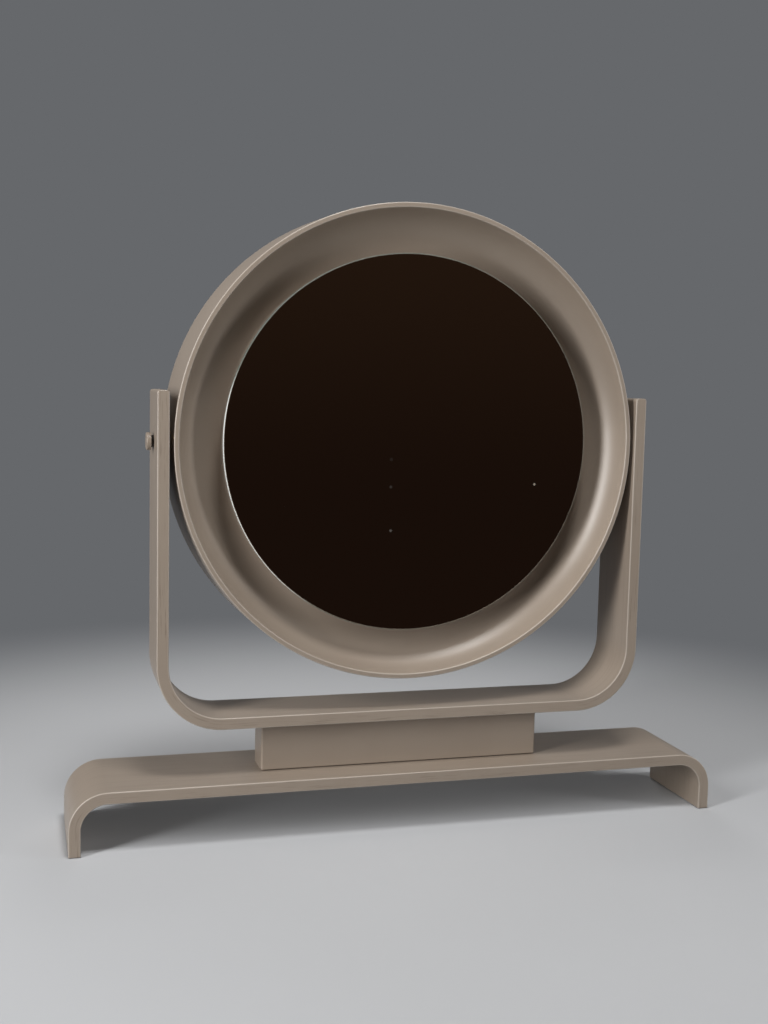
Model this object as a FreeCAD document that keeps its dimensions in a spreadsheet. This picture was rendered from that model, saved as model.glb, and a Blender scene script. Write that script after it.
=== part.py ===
"""Tilting table mirror in a bent-plywood yoke, on a bench base with a slim drawer.

Millimetres, +Z up, +X to the right, -Y to the front.  The origin is on the table under the middle
of the base.  Wherever a piece belongs to the mirror, its body is placed on the pivot axis, so its
sketch is drawn about that axis.
"""
import FreeCAD, Part
import Sketcher
import os

FRONT, BACK = -1, 1
LEFT, RIGHT = -1, 1
SAME_PLACE = 1e-4    # places nearer than this count as one
LEAST_CUT = 1e-3     # cubic millimetres that any cut has to remove

# --------------------------------------------------------------------------------------------------
# Driving dimensions
# --------------------------------------------------------------------------------------------------

DIMENSIONS = [
    # base bench
    ("base_length", 700, "base bench, over both feet"),
    ("base_depth", 116, "base bench, front to back"),
    ("base_height", 64, "table to the top of the bench"),
    ("base_ply", 12, "thickness of the bench's bent plywood"),
    ("base_bend", 38, "outer radius of the bench's bends"),
    ("edge_round", 1, "rounding of the plywood's edges"),
    ("pad_thickness", 1, "felt strip under each foot"),
    ("pad_inset", 2, "felt strip, back from the foot's faces"),
    ("pad_end_inset", 6, "felt strip, back from the foot's ends"),
    # block between the bench and the yoke
    ("block_width", 306, "block, over both posts"),
    ("block_depth", 40, "block, front to back"),
    ("block_height", 51, "top of the bench to the underside of the yoke"),
    ("post_width", 34, "post at each end of the block"),
    ("post_round", 3, "rounding of a post's rear corner"),
    ("back_thickness", 5, "panel that closes the block at the back"),
    # drawer
    ("front_thickness", 8, "drawer front"),
    ("front_round", 2, "rounding of the drawer front's upright edges"),
    ("front_top_gap", 1, "drawer front to the underside of the yoke"),
    ("front_bottom_gap", 0.8, "drawer front to the bench"),
    ("runner_thickness", 1.2, "strip that the drawer slides on"),
    ("runner_width", 7, "strip that the drawer slides on"),
    ("drawer_wall", 4, "sides and back of the drawer box"),
    ("drawer_floor", 3, "floor of the drawer box"),
    ("drawer_top_gap", 6.5, "drawer box to the underside of the yoke"),
    ("lining_thickness", 1, "felt on the drawer's floor"),
    ("slide_gap", 0.3, "sliding clearance of the drawer"),
    ("drawer_side_gap", 0.7, "drawer box to each post"),
    # yoke
    ("arm_gap", 2, "widest part of the rim to each arm"),
    ("yoke_depth", 76, "yoke, front to back"),
    ("yoke_ply", 12, "thickness of the yoke's bent plywood"),
    ("yoke_bend", 68, "outer radius of the yoke's bends"),
    ("arm_above_pivot", 52, "pivot axis to the top of the arms"),
    ("arm_end_round", 3, "rounding of the arms' top corners"),
    ("rim_above_floor", 30, "yoke's floor to the lowest point of the upright rim"),
    # bolts that hold yoke, posts and bench together
    ("bolt_diameter", 5, "clamping bolt"),
    ("bolt_clearance", 0.2, "play round a bolt in its holes"),
    ("bolt_spacing", 16, "between the two bolts of a post"),
    ("bolt_head_diameter", 8.5, "clamping bolt's head"),
    ("bolt_head_height", 4, "clamping bolt's head"),
    ("bolt_socket", 4, "hexagon socket, across flats"),
    ("bolt_socket_depth", 2.2, "hexagon socket"),
    ("bolt_washer_diameter", 10, "washer under a bolt's head"),
    ("bolt_washer_thickness", 1, "washer under a bolt's head"),
    ("counterbore_depth", 5.6, "recess for a bolt's head"),
    ("yoke_insert_diameter", 8, "threaded insert in the yoke's floor"),
    ("yoke_insert_length", 10, "threaded insert in the yoke's floor"),
    # mirror rim
    ("rim_rear_radius", 249, "rim, outside at the back"),
    ("rim_taper", 2.5, "how much smaller the rim's radius is at the lip"),
    ("rim_depth", 88, "rim, lip to rear edge"),
    ("lip_forward", 36, "lip, in front of the pivot axis"),
    ("lip_width", 5, "lip, outside to inside"),
    ("lip_flat", 3, "flat left between the lip's two rounded edges"),
    ("trough_depth", 34, "lip to the bottom of the trough"),
    ("trough_cove", 43, "radius of the hollow from the lip down to the bottom of the trough"),
    ("trough_round", 3, "rounding where that hollow meets the wall under the glass"),
    ("seat_wall_lean", 1, "wall under the glass, how far its foot stands out"),
    ("web", 8, "thickness of the trough's floor and of the glass seat"),
    ("rear_wall", 23, "thickness of the rim behind the trough"),
    ("cover_rebate_wall", 9, "rim outside the rear cover"),
    ("rim_rear_round", 1.5, "rounding of the rim's rear edge"),
    # glass and what holds it
    ("rim_face_width", 50, "outside of the lip to the edge of the glass"),
    ("glass_thickness", 4, "mirror glass"),
    ("glass_set_back", 10.5, "lip to the face of the glass"),
    ("glass_bevel", 1, "polished edge of the glass"),
    ("glass_overhang", 4, "glass beyond its seat"),
    ("seat_width", 82.5, "glass seat, radially"),
    ("tape_thickness", 1, "foam tape under the glass"),
    ("tape_width", 18, "foam tape under the glass"),
    ("tape_inset", 12, "foam tape, in from the seat's edge"),
    ("tape_angle", 34, "arc of one length of tape, in degrees"),
    ("tape_count", 8, "lengths of foam tape"),
    # rear cover
    ("cover_thickness", 4, "rear cover"),
    ("cover_gap", 0.3, "play round the rear cover"),
    ("cover_recess", 1, "rear cover, in from the rim's rear edge"),
    ("cover_screw_count", 8, "screws round the rear cover"),
    ("cover_screw_inset", 6, "screws, in from the cover's edge"),
    ("cover_screw_diameter", 3.5, "countersunk screw"),
    ("cover_screw_head", 7, "countersunk screw's head"),
    ("cover_screw_cone", 2, "countersunk screw's head, depth"),
    ("cover_screw_length", 20, "countersunk screw, overall"),
    ("cover_screw_slot", 1, "screwdriver slot, width and depth"),
    # pivots
    ("stud_diameter", 6, "threaded stud"),
    ("running_clearance", 0.05, "radial play of a turning stud"),
    ("pivot_seat_depth", 0.7, "flat cut in the rim round each pivot"),
    ("pivot_seat_diameter", 18, "flat cut in the rim round each pivot"),
    ("rim_insert_diameter", 8.5, "threaded insert in the rim"),
    ("rim_insert_length", 10, "threaded insert in the rim"),
    ("stud_end_gap", 0.8, "stud's end to the end of its insert"),
    ("bush_diameter", 9, "bush in the arm"),
    ("bush_flange_diameter", 16, "flange of the bush"),
    ("bush_flange_thickness", 1.2, "flange of the bush"),
    ("turning_gap", 0.3, "between faces that turn past each other"),
    ("friction_washer_diameter", 16, "fibre washer between arm and rim"),
    ("outer_washer_diameter", 12, "washer between arm and knob"),
    ("outer_washer_thickness", 2.6, "washer between arm and knob"),
    ("washer_bore_gap", 0.25, "play of the stud in a washer"),
    ("knob_diameter", 18, "clamping knob"),
    ("knob_thickness", 4.6, "clamping knob"),
    ("knob_round", 1.2, "rounding of the knob's face"),
    ("stud_in_knob", 3.2, "depth of the stud's socket in the knob"),
]

doc = FreeCAD.newDocument("tilting_table_mirror")
sheet = doc.addObject("Spreadsheet::Sheet", "Sizes")
for row, (alias, millimetres, meaning) in enumerate(DIMENSIONS, start=1):
    sheet.set("A%d" % row, meaning)
    sheet.set("B%d" % row, str(millimetres))
    sheet.setAlias("B%d" % row, alias)
doc.recompute()


class Size:
    """A number and the spreadsheet expression that it comes from, worked out side by side."""

    def __init__(self, value, text):
        self.value = value
        self.text = text

    @staticmethod
    def of(other):
        return other if isinstance(other, Size) else Size(float(other), repr(float(other)))

    def __add__(self, other):
        other = Size.of(other)
        return Size(self.value + other.value, "(%s + %s)" % (self.text, other.text))

    def __sub__(self, other):
        other = Size.of(other)
        return Size(self.value - other.value, "(%s - %s)" % (self.text, other.text))

    def __mul__(self, other):
        other = Size.of(other)
        return Size(self.value * other.value, "(%s * %s)" % (self.text, other.text))

    def __rmul__(self, other):
        return Size.of(other) * self

    def __truediv__(self, other):
        other = Size.of(other)
        return Size(self.value / other.value, "(%s / %s)" % (self.text, other.text))

    def __neg__(self):
        return Size(-self.value, "(-1 * %s)" % self.text)


def size(alias):
    return Size(float(sheet.get(alias)), "Sizes.%s" % alias)


# Levels and planes that several pieces share
edge_round = size("edge_round")
pad_top = size("pad_thickness")
base_top = size("base_height")
base_underside = base_top - size("base_ply")
yoke_underside = base_top + size("block_height")
yoke_floor = yoke_underside + size("yoke_ply")
pivot_height = yoke_floor + size("rim_above_floor") + size("rim_rear_radius")
arm_top = pivot_height + size("arm_above_pivot")
arm_inside = size("rim_rear_radius") + size("arm_gap")
arm_outside = arm_inside + size("yoke_ply")
block_front = -(size("block_depth") / 2)
block_rear = size("block_depth") / 2
panel_front = block_rear - size("back_thickness")
front_rear = block_front + size("front_thickness")
post_front = front_rear + size("slide_gap")
post_outside = size("block_width") / 2
post_inside = post_outside - size("post_width")
post_middle = (post_outside + post_inside) / 2
bolt_middle = (post_front + block_rear) / 2
runner_top = base_top + size("runner_thickness")
drawer_underside = runner_top + size("slide_gap")

# --------------------------------------------------------------------------------------------------
# Helpers
# --------------------------------------------------------------------------------------------------

parts = []
cuts = []


def bind(item, prop, amount):
    """Tie a property to the spreadsheet."""
    item.setExpression(prop, Size.of(amount).text)


def new_body(label, x=0, y=0, z=0):
    """An empty body that is exported as one sub-part."""
    body = doc.addObject("PartDesign::Body", label)
    body.Label = label
    for axis, amount in (("x", x), ("y", y), ("z", z)):
        bind(body, "Placement.Base.%s" % axis, amount)
    parts.append(body)
    return body


def origin_feature(body, role):
    return [item for item in body.Origin.OriginFeatures if item.Role == role][0]


def new_sketch(body, plane, offset=0):
    """A sketch on one of the body's own origin planes, moved along the plane's normal by offset."""
    sketch = body.newObject("Sketcher::SketchObject", "%s_sketch" % body.Label)
    sketch.AttachmentSupport = [(origin_feature(body, plane), "")]
    sketch.MapMode = "FlatFace"
    bind(sketch, "AttachmentOffset.Base.z", offset)
    return sketch


def pin(sketch, geometry, point, x, y):
    """Fix one point of a sketch by its two distances from the sketch's origin."""
    for kind, amount in (("DistanceX", x), ("DistanceY", y)):
        amount = Size.of(amount)
        index = sketch.addConstraint(Sketcher.Constraint(kind, -1, 1, geometry, point, amount.value))
        bind(sketch, "Constraints[%d]" % index, amount)


def vector(x, y):
    return FreeCAD.Vector(Size.of(x).value, Size.of(y).value, 0)


def arc_bearing_left(start, end, radius):
    """The short arc from start to end that bends to the left."""
    half = (end - start) / 2
    leftwards = FreeCAD.Vector(-half.y, half.x, 0).normalize()
    centre = start + half + leftwards * (radius ** 2 - half.Length ** 2) ** 0.5
    circle = Part.Circle(centre, FreeCAD.Vector(0, 0, 1), radius)
    return Part.ArcOfCircle(circle, circle.parameter(start), circle.parameter(end))


def draw_outline(sketch, corners, cove=None):
    """A closed outline through the given corners. A cove makes its first side an arc of that radius."""
    first = sketch.GeometryCount
    count = len(corners)
    for index in range(count):
        start, end = vector(*corners[index]), vector(*corners[(index + 1) % count])
        hollow = cove and index == 0
        side = arc_bearing_left(start, end, cove.value) if hollow else Part.LineSegment(start, end)
        sketch.addGeometry(side, False)
    for index in range(count):
        following = first + (index + 1) % count
        sketch.addConstraint(Sketcher.Constraint("Coincident", first + index, 2, following, 1))
        pin(sketch, first + index, 1, *corners[index])
    if cove:
        number = sketch.addConstraint(Sketcher.Constraint("Radius", first, cove.value))
        bind(sketch, "Constraints[%d]" % number, cove)


def draw_rectangle(sketch, x_low, x_high, y_low, y_high):
    draw_outline(sketch, [(x_low, y_low), (x_high, y_low), (x_high, y_high), (x_low, y_high)])


def draw_circles(sketch, centres, diameter):
    for x, y in centres:
        circle = Part.Circle(vector(x, y), FreeCAD.Vector(0, 0, 1), diameter.value / 2)
        number = sketch.addGeometry(circle, False)
        pin(sketch, number, 3, x, y)
        index = sketch.addConstraint(Sketcher.Constraint("Diameter", number, diameter.value))
        bind(sketch, "Constraints[%d]" % index, diameter)


def draw_axis(sketch, start, end):
    """A construction line that a half section is turned about, as the sketch's Axis0."""
    number = sketch.addGeometry(Part.LineSegment(vector(*start), vector(*end)), True)
    pin(sketch, number, 1, *start)
    pin(sketch, number, 2, *end)


def pad(body, sketch, length, symmetric=False):
    feature = body.newObject("PartDesign::Pad", "%s_pad" % body.Label)
    feature.Profile = sketch
    if symmetric:
        feature.SideType = "Symmetric"
    bind(feature, "Length", length)
    doc.recompute()


def pocket(body, sketch, length, along_normal=True):
    """Cut from the sketch along its plane's normal, or against it."""
    feature = body.newObject("PartDesign::Pocket", "%s_pocket" % body.Label)
    feature.Profile = sketch
    feature.Reversed = along_normal
    bind(feature, "Length", length)
    doc.recompute()
    cuts.append(feature)


def turn(body, sketch, axis="H_Axis", angle=360, kind="Revolution"):
    """Turn a half section about one of the sketch's axes, as a solid or as a groove."""
    feature = body.newObject("PartDesign::%s" % kind, "%s_turned" % body.Label)
    feature.Profile = sketch
    feature.ReferenceAxis = (sketch, [axis])
    bind(feature, "Angle", angle)
    doc.recompute()
    if kind == "Groove":
        cuts.append(feature)
    return feature


def repeat_round(body, feature, count):
    """Repeat a feature evenly round the body's Y axis."""
    pattern = body.newObject("PartDesign::PolarPattern", "%s_pattern" % body.Label)
    pattern.Originals = [feature]
    pattern.Axis = (origin_feature(body, "Y_Axis"), [""])
    pattern.Angle = 360
    bind(pattern, "Occurrences", count)
    body.Tip = pattern
    doc.recompute()


def fillet(body, radius, wanted):
    """Round the edges of the body's last feature that wanted(edge) picks."""
    base = body.Tip
    names = ["Edge%d" % number for number, edge in enumerate(base.Shape.Edges, start=1) if wanted(edge)]
    feature = body.newObject("PartDesign::Fillet", "%s_fillet" % body.Label)
    feature.Base = (base, names)
    bind(feature, "Radius", radius)
    doc.recompute()


def near(value, target):
    return abs(value - Size.of(target).value) < SAME_PLACE


def ends(edge):
    return [vertex.Point for vertex in edge.Vertexes]


def corner_along_y(x, z):
    """Picks the two edges that run along Y at the given x, left and right, and z."""
    return lambda edge: (near(edge.BoundBox.XLength, 0)
                         and all(near(abs(end.x), x) and near(end.z, z) for end in ends(edge)))


def upright_corner(x, y):
    """Picks the upright edges at the given x, left or right, and y."""
    return lambda edge: (near(edge.BoundBox.XLength, 0)
                         and all(near(abs(end.x), x) and near(end.y, y) for end in ends(edge)))


def ring_edge(radius, y):
    """Picks the round edge of the given radius about the Y axis."""
    return lambda edge: (isinstance(edge.Curve, Part.Circle) and near(edge.Curve.Radius, radius)
                         and near(edge.Curve.Center.y, y))


def panel(label, x_low, x_high, y_low, y_high, z_low, z_high):
    """A plain flat board between two corners."""
    board = doc.addObject("Part::Box", label)
    board.Label = label
    for prop, amount in (("Length", x_high - x_low), ("Width", y_high - y_low), ("Height", z_high - z_low)):
        bind(board, prop, amount)
    for axis, amount in (("x", x_low), ("y", y_low), ("z", z_low)):
        bind(board, "Placement.Base.%s" % axis, amount)
    parts.append(board)


# --------------------------------------------------------------------------------------------------
# Base bench: one bent strip of plywood whose turned-down ends are the feet
# --------------------------------------------------------------------------------------------------

bolt_places = [(side * post_middle, bolt_middle + end * size("bolt_spacing") / 2)
               for side in (LEFT, RIGHT) for end in (FRONT, BACK)]
bolt_hole = size("bolt_diameter") + size("bolt_clearance") * 2


def bent_strip(label, outline, depth, outer_corner, inner_corner, bend, ply):
    """Pad a U-shaped outline front to back and bend its two corners."""
    body = new_body(label)
    sketch = new_sketch(body, "XZ_Plane")
    draw_outline(sketch, outline)
    pad(body, sketch, depth, symmetric=True)
    fillet(body, bend, corner_along_y(*outer_corner))
    fillet(body, bend - ply, corner_along_y(*inner_corner))
    return body


def make_base_bench():
    outside = size("base_length") / 2
    inside = outside - size("base_ply")
    depth = size("base_depth")
    outline = [(-outside, pad_top), (-inside, pad_top), (-inside, base_underside), (inside, base_underside),
               (inside, pad_top), (outside, pad_top), (outside, base_top), (-outside, base_top)]
    bench = bent_strip("base_bench", outline, depth, (outside, base_top), (inside, base_underside),
                       size("base_bend"), size("base_ply"))

    def outline_edge(edge):
        on_side = all(near(abs(end.y), depth / 2) for end in ends(edge))
        on_foot = all(near(end.z, pad_top) for end in ends(edge))
        return on_side and not on_foot

    fillet(bench, edge_round, outline_edge)
    holes = new_sketch(bench, "XY_Plane", base_underside)
    draw_circles(holes, bolt_places, bolt_hole)
    pocket(bench, holes, size("base_ply"))
    recesses = new_sketch(bench, "XY_Plane", base_underside)
    draw_circles(recesses, bolt_places, size("bolt_washer_diameter") + size("bolt_clearance") * 2)
    pocket(bench, recesses, size("counterbore_depth"))


def make_foot_pads():
    pads = new_body("foot_pads")
    outside = size("base_length") / 2 - size("pad_inset")
    inside = size("base_length") / 2 - size("base_ply") + size("pad_inset")
    half_length = size("base_depth") / 2 - size("pad_end_inset")
    sketch = new_sketch(pads, "XY_Plane")
    for side in (LEFT, RIGHT):
        draw_rectangle(sketch, side * inside, side * outside, -half_length, half_length)
    pad(pads, sketch, size("pad_thickness"))


make_base_bench()
make_foot_pads()

# --------------------------------------------------------------------------------------------------
# Block: two posts that carry the yoke, a back panel between them and strips for the drawer
# --------------------------------------------------------------------------------------------------


def make_post(label, side):
    post = new_body(label)
    section = new_sketch(post, "XY_Plane", base_top)
    draw_rectangle(section, side * post_inside, side * post_outside, post_front, block_rear)
    pad(post, section, size("block_height"))
    fillet(post, size("post_round"), upright_corner(post_outside, block_rear))
    holes = new_sketch(post, "XY_Plane", base_top)
    draw_circles(holes, [place for place in bolt_places if place[0].value * side > 0], bolt_hole)
    pocket(post, holes, size("block_height"))


def make_drawer_runners():
    runners = new_body("drawer_runners")
    sketch = new_sketch(runners, "XY_Plane", base_top)
    inner_edge = post_inside - size("runner_width")
    for side in (LEFT, RIGHT):
        draw_rectangle(sketch, side * inner_edge, side * post_inside, post_front, panel_front)
    pad(runners, sketch, size("runner_thickness"))


make_post("left_post", LEFT)
make_post("right_post", RIGHT)
panel("block_back_panel", -post_inside, post_inside, panel_front, block_rear, base_top, yoke_underside)
make_drawer_runners()

# --------------------------------------------------------------------------------------------------
# Drawer: a front over the whole block and a shallow box between the posts
# --------------------------------------------------------------------------------------------------


def make_drawer_front():
    front = new_body("drawer_front")
    low = base_top + size("front_bottom_gap")
    section = new_sketch(front, "XY_Plane", low)
    draw_rectangle(section, -post_outside, post_outside, block_front, front_rear)
    pad(front, section, yoke_underside - size("front_top_gap") - low)
    fillet(front, size("front_round"), upright_corner(post_outside, block_front))

    def face_edge(edge):
        level = all(near(end.z, ends(edge)[0].z) for end in ends(edge))
        at_rear = all(near(end.y, front_rear) for end in ends(edge))
        return level and not at_rear

    fillet(front, edge_round, face_edge)


def make_drawer_box():
    outside = post_inside - size("drawer_side_gap")
    inside = outside - size("drawer_wall")
    rear = panel_front - size("drawer_side_gap")
    rear_wall = rear - size("drawer_wall")
    floor_top = drawer_underside + size("drawer_floor")
    rim = yoke_underside - size("drawer_top_gap")
    gap = size("slide_gap")
    panel("drawer_left_side", -outside, -inside, front_rear, rear, drawer_underside, rim)
    panel("drawer_right_side", inside, outside, front_rear, rear, drawer_underside, rim)
    panel("drawer_back", -inside, inside, rear_wall, rear, drawer_underside, rim)
    panel("drawer_bottom", -inside, inside, front_rear, rear_wall, drawer_underside, floor_top)
    panel("drawer_lining", -inside + gap, inside - gap, front_rear + gap, rear_wall - gap,
          floor_top, floor_top + size("lining_thickness"))


make_drawer_front()
make_drawer_box()

# --------------------------------------------------------------------------------------------------
# Yoke: one bent strip of plywood, its arms line-bored for the pivots
# --------------------------------------------------------------------------------------------------


def make_yoke():
    depth = size("yoke_depth")
    outline = [(-arm_outside, arm_top), (-arm_outside, yoke_underside), (arm_outside, yoke_underside),
               (arm_outside, arm_top), (arm_inside, arm_top), (arm_inside, yoke_floor),
               (-arm_inside, yoke_floor), (-arm_inside, arm_top)]
    yoke = bent_strip("yoke", outline, depth, (arm_outside, yoke_underside), (arm_inside, yoke_floor),
                      size("yoke_bend"), size("yoke_ply"))
    fillet(yoke, size("arm_end_round"), corner_along_y(arm_outside, arm_top))
    fillet(yoke, size("arm_end_round"), corner_along_y(arm_inside, arm_top))
    fillet(yoke, edge_round, lambda edge: all(near(abs(end.y), depth / 2) for end in ends(edge)))
    insert_holes = new_sketch(yoke, "XY_Plane", yoke_underside)
    draw_circles(insert_holes, bolt_places, size("yoke_insert_diameter"))
    pocket(yoke, insert_holes, size("yoke_insert_length"))
    bores = new_sketch(yoke, "YZ_Plane", -arm_outside)
    draw_circles(bores, [(0, pivot_height)], size("bush_diameter"))
    pocket(yoke, bores, arm_outside * 2)


make_yoke()

# --------------------------------------------------------------------------------------------------
# Clamping bolts: up through the bench and the posts into inserts in the yoke's floor
# --------------------------------------------------------------------------------------------------

washer_top = base_underside + size("counterbore_depth")
washer_underside = washer_top - size("bolt_washer_thickness")
insert_top = yoke_underside + size("yoke_insert_length")


def make_bolt_rings(label, low, high, diameter, bore):
    rings = new_body(label)
    sketch = new_sketch(rings, "XY_Plane", low)
    draw_circles(sketch, bolt_places, diameter)
    draw_circles(sketch, bolt_places, bore)
    pad(rings, sketch, high - low)


def make_frame_bolts():
    bolts = new_body("frame_bolts")
    heads = new_sketch(bolts, "XY_Plane", washer_underside - size("bolt_head_height"))
    draw_circles(heads, bolt_places, size("bolt_head_diameter"))
    pad(bolts, heads, size("bolt_head_height"))
    shanks = new_sketch(bolts, "XY_Plane", washer_underside)
    draw_circles(shanks, bolt_places, size("bolt_diameter"))
    pad(bolts, shanks, insert_top - washer_underside)
    sockets = new_sketch(bolts, "XY_Plane", washer_underside - size("bolt_head_height"))
    half_flat = size("bolt_socket") / 2
    side = size("bolt_socket") / Size(3 ** 0.5, "sqrt(3)")
    for x, y in bolt_places:
        draw_outline(sockets, [(x + side, y), (x + side / 2, y + half_flat), (x - side / 2, y + half_flat),
                               (x - side, y), (x - side / 2, y - half_flat), (x + side / 2, y - half_flat)])
    pocket(bolts, sockets, size("bolt_socket_depth"))


make_frame_bolts()
make_bolt_rings("bolt_washers", washer_underside, washer_top, size("bolt_washer_diameter"), bolt_hole)
make_bolt_rings("yoke_inserts", yoke_underside, insert_top, size("yoke_insert_diameter"),
                size("bolt_diameter"))

# --------------------------------------------------------------------------------------------------
# Mirror rim: a turned ring with a lip, a deep trough and a seat for the glass
# --------------------------------------------------------------------------------------------------

lip_y = -size("lip_forward")
rim_rear_y = lip_y + size("rim_depth")
trough_y = lip_y + size("trough_depth")
glass_front_y = lip_y + size("glass_set_back")
glass_rear_y = glass_front_y + size("glass_thickness")
seat_y = glass_rear_y + size("tape_thickness")
lip_radius = size("rim_rear_radius") - size("rim_taper")
lip_round = (size("lip_width") - size("lip_flat")) / 2
lip_inner_radius = lip_radius - size("lip_width")
glass_radius = lip_radius - size("rim_face_width")
seat_radius = glass_radius - size("glass_overhang")
wall_foot_radius = seat_radius + size("seat_wall_lean")
cover_radius = size("rim_rear_radius") - size("cover_rebate_wall") - size("cover_gap")
cover_rear_y = rim_rear_y - size("cover_recess")
cover_front_y = cover_rear_y - size("cover_thickness")
screw_radius = cover_radius - size("cover_screw_inset")
screw_end_y = cover_rear_y - size("cover_screw_length")
rear_ledge_radius = size("rim_rear_radius") - size("rear_wall")
radius_at_pivot = lip_radius + size("rim_taper") * size("lip_forward") / size("rim_depth")
pivot_seat_x = radius_at_pivot - size("pivot_seat_depth")


def draw_screw_section(sketch, head_diameter, cone_depth):
    """Half section of a countersunk screw, or of its hole, about an axis parallel to Y."""
    shank = size("cover_screw_diameter") / 2
    head = head_diameter / 2
    draw_outline(sketch, [(cover_rear_y, screw_radius), (cover_rear_y, screw_radius + head),
                          (cover_rear_y - cone_depth, screw_radius + shank),
                          (screw_end_y, screw_radius + shank), (screw_end_y, screw_radius)])
    draw_axis(sketch, (screw_end_y, screw_radius), (cover_rear_y, screw_radius))


def cut_screw_holes(body):
    section = new_sketch(body, "YZ_Plane")
    draw_screw_section(section, size("cover_screw_head"), size("cover_screw_cone"))
    hole = turn(body, section, axis="Axis0", kind="Groove")
    repeat_round(body, hole, size("cover_screw_count"))


def make_mirror_rim():
    rim = new_body("mirror_rim", z=pivot_height)
    section = new_sketch(rim, "YZ_Plane")
    web = size("web")
    seat_inner = seat_radius - size("seat_width")
    draw_outline(section, [
        (trough_y, wall_foot_radius),
        (lip_y, lip_inner_radius),
        (lip_y, lip_radius),
        (rim_rear_y, size("rim_rear_radius")),
        (rim_rear_y, cover_radius + size("cover_gap")),
        (cover_front_y, cover_radius + size("cover_gap")),
        (cover_front_y, rear_ledge_radius),
        (trough_y + web, rear_ledge_radius),
        (trough_y + web, wall_foot_radius - web),
        (seat_y + web, seat_radius - web),
        (seat_y + web, seat_inner),
        (seat_y, seat_inner),
        (seat_y, seat_radius)], cove=size("trough_cove"))
    turn(rim, section)
    fillet(rim, size("trough_round"), ring_edge(wall_foot_radius, trough_y))
    fillet(rim, lip_round, lambda edge: near(edge.BoundBox.YMax, lip_y))
    fillet(rim, size("rim_rear_round"), ring_edge(size("rim_rear_radius"), rim_rear_y))
    for side in (LEFT, RIGHT):
        flat = new_sketch(rim, "YZ_Plane", side * pivot_seat_x)
        draw_circles(flat, [(0, 0)], size("pivot_seat_diameter"))
        pocket(rim, flat, size("pivot_seat_depth") * 2, along_normal=side == RIGHT)
        bore = new_sketch(rim, "YZ_Plane", side * pivot_seat_x)
        draw_circles(bore, [(0, 0)], size("rim_insert_diameter"))
        pocket(rim, bore, size("rim_insert_length"), along_normal=side == LEFT)
    cut_screw_holes(rim)


def make_mirror_glass():
    glass = new_body("mirror_glass", z=pivot_height)
    bevel = size("glass_bevel")
    section = new_sketch(glass, "YZ_Plane")
    draw_outline(section, [(glass_front_y, 0), (glass_front_y, glass_radius - bevel),
                           (glass_front_y + bevel, glass_radius), (glass_rear_y, glass_radius),
                           (glass_rear_y, 0)])
    turn(glass, section)


def make_mounting_tape():
    tape = new_body("mounting_tape", z=pivot_height)
    outer = seat_radius - size("tape_inset")
    section = new_sketch(tape, "YZ_Plane")
    draw_rectangle(section, glass_rear_y, seat_y, outer - size("tape_width"), outer)
    length = turn(tape, section, angle=size("tape_angle"))
    repeat_round(tape, length, size("tape_count"))


def make_rear_cover():
    cover = new_body("rear_cover", z=pivot_height)
    section = new_sketch(cover, "YZ_Plane")
    draw_rectangle(section, cover_front_y, cover_rear_y, 0, cover_radius)
    turn(cover, section)
    fillet(cover, edge_round, ring_edge(cover_radius, cover_rear_y))
    cut_screw_holes(cover)


def make_cover_screws():
    screws = new_body("cover_screws", z=pivot_height)
    section = new_sketch(screws, "YZ_Plane")
    draw_screw_section(section, size("cover_screw_head"), size("cover_screw_cone"))
    screw = turn(screws, section, axis="Axis0")
    repeat_round(screws, screw, size("cover_screw_count"))


make_mirror_rim()
make_mirror_glass()
make_mounting_tape()
make_rear_cover()
make_cover_screws()

# --------------------------------------------------------------------------------------------------
# Pivots: turned pieces on the pivot axis, the same on both sides
# --------------------------------------------------------------------------------------------------

stud_radius = size("stud_diameter") / 2
running_bore = stud_radius + size("running_clearance")
washer_bore = stud_radius + size("washer_bore_gap")
bush_radius = size("bush_diameter") / 2
flange_radius = size("bush_flange_diameter") / 2
knob_radius = size("knob_diameter") / 2
insert_end_x = pivot_seat_x - size("rim_insert_length")
stud_end_x = insert_end_x + size("stud_end_gap")
flange_x = arm_inside - size("bush_flange_thickness")
outer_washer_x = arm_outside + size("outer_washer_thickness")
knob_x = outer_washer_x + size("turning_gap")
knob_face_x = knob_x + size("knob_thickness")
socket_end_x = knob_x + size("stud_in_knob")


def turned_on_pivot(label, side, half_section):
    """Turn a half section of (distance from the middle, radius) points about the pivot axis."""
    body = new_body(label, z=pivot_height)
    sketch = new_sketch(body, "XZ_Plane")
    draw_outline(sketch, [(side * Size.of(x), radius) for x, radius in half_section])
    turn(body, sketch)
    return body


def ring_section(x_inner, x_outer, bore, radius):
    return [(x_inner, bore), (x_outer, bore), (x_outer, radius), (x_inner, radius)]


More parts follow.
